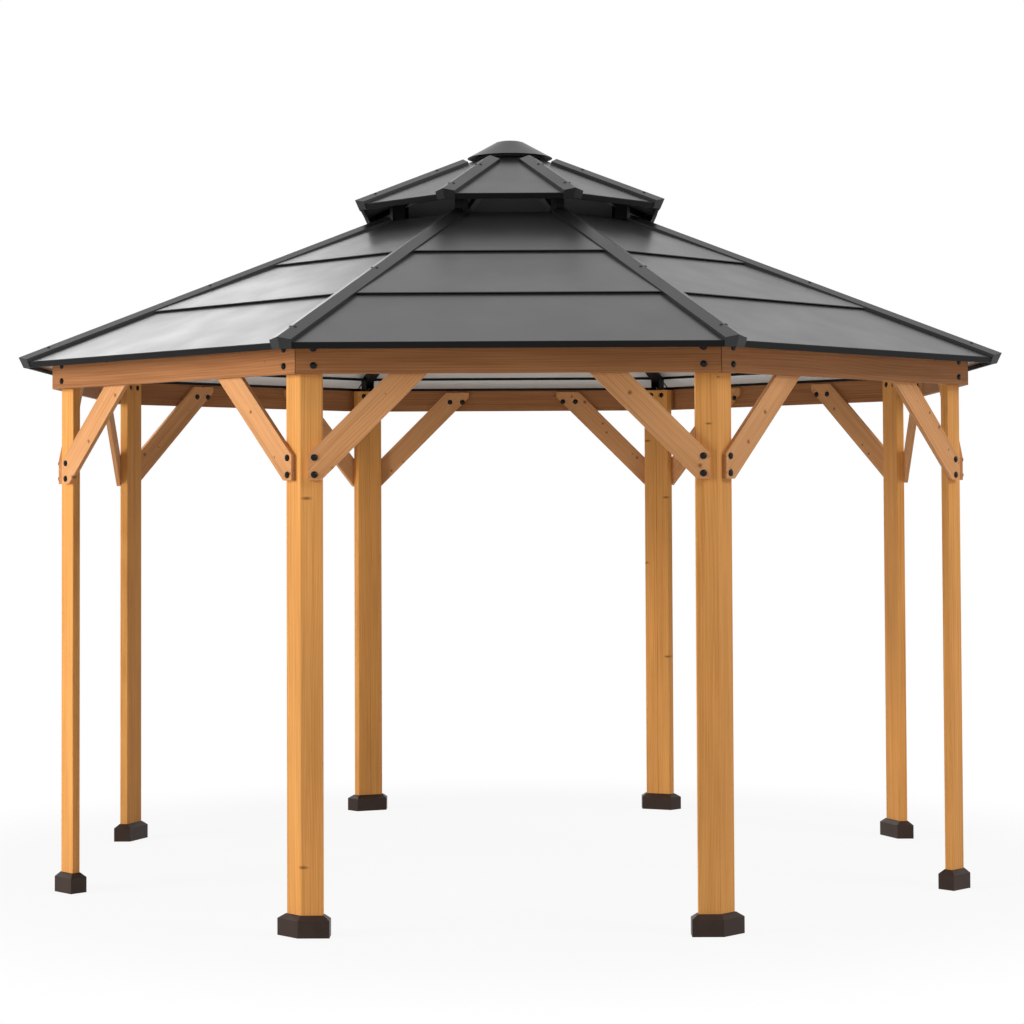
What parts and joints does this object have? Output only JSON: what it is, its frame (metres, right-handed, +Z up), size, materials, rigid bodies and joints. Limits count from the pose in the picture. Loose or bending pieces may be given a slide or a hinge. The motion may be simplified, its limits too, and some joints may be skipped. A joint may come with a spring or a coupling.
{
  "type": "octagonal garden gazebo",
  "caption": "Open octagonal garden gazebo: timber posts, header boards and knee braces under a two-tier folded steel roof with a vent and a cone cap.",
  "frame": {"origin": "on the ground at the centre of the octagon, level with the undersides of the post boots", "axes": "+Z up; side 1 of the octagon faces -Y, so X and Y each run square to two of the sides"},
  "size_m": [4.222, 4.222, 3.341],
  "materials": {
    "post_timber": "honey stained cedar, satin",
    "header_timber": "red brown stained cedar, satin",
    "brace_timber": "tan stained cedar with small knots, satin",
    "boot_plastic": "dark brown moulded plastic",
    "frame_steel": "black powder coat",
    "roof_sheet": "charcoal grey baked enamel on steel sheet",
    "roof_trim": "dark charcoal baked enamel on folded steel"
  },
  "bodies": {
    "root": {"post_1": "post_timber", "post_2": "post_timber", "post_3": "post_timber", "post_4": "post_timber", "post_5": "post_timber", "post_6": "post_timber", "post_7": "post_timber", "post_8": "post_timber", "header_beam_1": "header_timber", "header_beam_2": "header_timber", "header_beam_3": "header_timber", "header_beam_4": "header_timber", "header_beam_5": "header_timber", "header_beam_6": "header_timber", "header_beam_7": "header_timber", "header_beam_8": "header_timber", "knee_braces_1": "brace_timber", "knee_braces_2": "brace_timber", "knee_braces_3": "brace_timber", "knee_braces_4": "brace_timber", "knee_braces_5": "brace_timber", "knee_braces_6": "brace_timber", "knee_braces_7": "brace_timber", "knee_braces_8": "brace_timber", "packing_blocks": "header_timber", "post_boots": "boot_plastic", "post_brackets": "frame_steel", "hip_rafters": "frame_steel", "purlins": "frame_steel", "vent_brackets": "frame_steel", "upper_frame": "frame_steel", "roof_panel_1": "roof_sheet", "roof_panel_2": "roof_sheet", "roof_panel_3": "roof_sheet", "roof_panel_4": "roof_sheet", "roof_panel_5": "roof_sheet", "roof_panel_6": "roof_sheet", "roof_panel_7": "roof_sheet", "roof_panel_8": "roof_sheet", "upper_roof_panels": "roof_sheet", "lower_fascia": "roof_trim", "upper_fascia": "roof_trim", "lower_hip_covers": "roof_trim", "upper_hip_covers": "roof_trim", "cone_cap": "roof_trim"}
  },
  "joints": []
}
